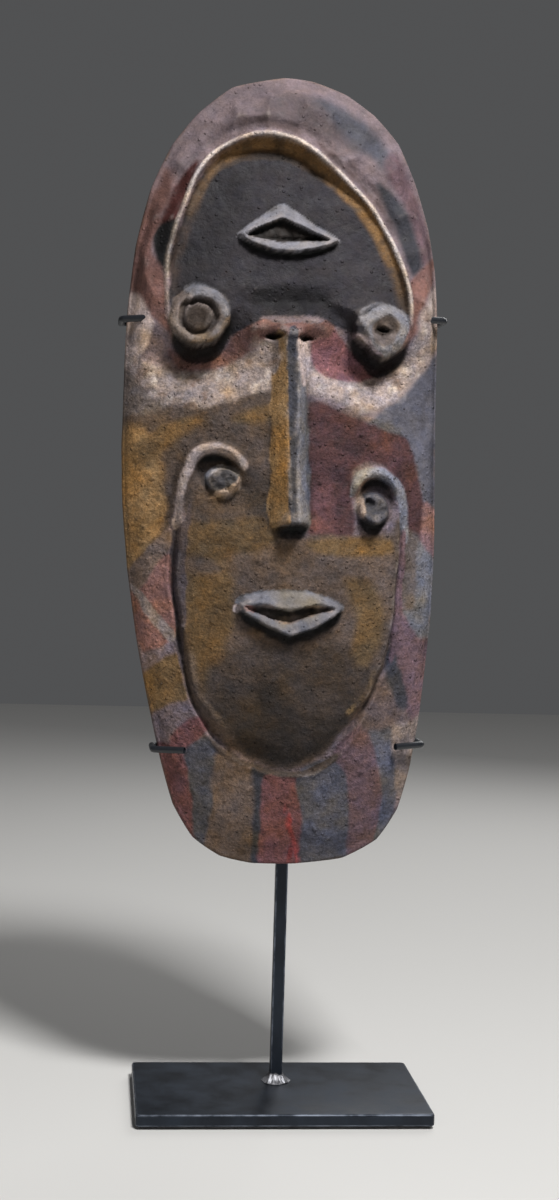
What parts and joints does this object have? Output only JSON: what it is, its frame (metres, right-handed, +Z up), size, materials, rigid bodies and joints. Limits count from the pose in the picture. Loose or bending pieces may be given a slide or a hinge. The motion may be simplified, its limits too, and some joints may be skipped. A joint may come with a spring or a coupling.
{
  "type": "carved face mask on a display stand",
  "caption": "Tall carved and painted wooden face mask with scrolls and a long nose, gripped by sleeved hooks on a spine that plugs into a square steel post on a flat base plate.",
  "frame": {"origin": "middle of the underside of the felt on the base, on the surface that the stand rests on", "axes": "+Z up along the post, +X to the viewer's right when facing the mask, the carved face looks along -Y"},
  "size_m": [0.2135, 0.12, 0.6702],
  "materials": {
    "painted_wood": "matte earth pigment in ochre, red, grey and white, rubbed and dusty, over carved wood",
    "black_steel": "satin blackened steel, worn along its edges",
    "bare_weld": "rough bare weld metal with dark heat stains",
    "shrink_sleeve": "black shrunk sleeve, low gloss",
    "grey_felt": "dense charcoal wool felt"
  },
  "bodies": {
    "stand": {"base_felt": "grey_felt", "base_plate": "black_steel", "post": "black_steel", "foot_weld": "bare_weld"},
    "bracket": {"spine": "black_steel", "stop_collar": "black_steel", "upper_arm": "black_steel", "lower_arm": "black_steel", "upper_weld_over": "bare_weld", "upper_weld_under": "bare_weld", "lower_weld_over": "bare_weld", "lower_weld_under": "bare_weld", "upper_left_sleeve": "shrink_sleeve", "upper_right_sleeve": "shrink_sleeve", "lower_left_sleeve": "shrink_sleeve", "lower_right_sleeve": "shrink_sleeve", "upper_left_pad": "grey_felt", "upper_right_pad": "grey_felt", "lower_left_pad": "grey_felt", "lower_right_pad": "grey_felt", "mask_board": "painted_wood"}
  },
  "joints": [
    {"name": "bracket_lift", "type": "slide", "parent": "stand", "child": "bracket", "axis": [0, 0, 1], "range_m": [0, 0.075]}
  ]
}
